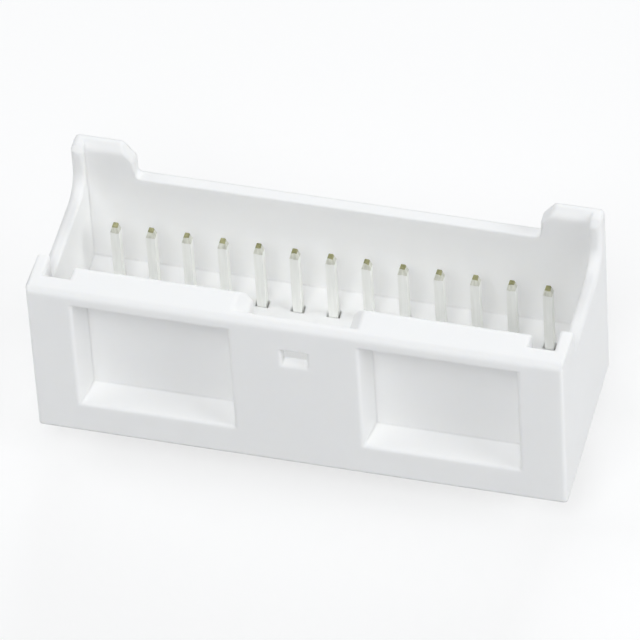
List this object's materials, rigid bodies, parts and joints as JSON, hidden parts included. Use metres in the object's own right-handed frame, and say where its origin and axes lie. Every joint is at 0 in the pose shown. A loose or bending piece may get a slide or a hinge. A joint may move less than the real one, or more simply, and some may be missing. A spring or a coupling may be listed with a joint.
{
  "type": "wire-to-board connector",
  "caption": "White shrouded board header: a moulded housing with rear ears, a latch window and front pockets around a row of square tinned contact pins with solder tails.",
  "frame": {"origin": "middle of the row of pins, on the face that sits on the circuit board", "axes": "+X along the row of pins, +Y from the latch side to the rear wall with the ears, +Z along the pins, away from the board"},
  "size_m": [0.0366, 0.0134, 0.0181],
  "materials": {
    "housing": "satin moulded nylon",
    "pin": "tin plated, bare brass at the cut tips"
  },
  "bodies": {
    "root": {"housing": "housing", "pin_01": "pin", "pin_02": "pin", "pin_03": "pin", "pin_04": "pin", "pin_05": "pin", "pin_06": "pin", "pin_07": "pin", "pin_08": "pin", "pin_09": "pin", "pin_10": "pin", "pin_11": "pin", "pin_12": "pin", "pin_13": "pin"}
  },
  "joints": []
}
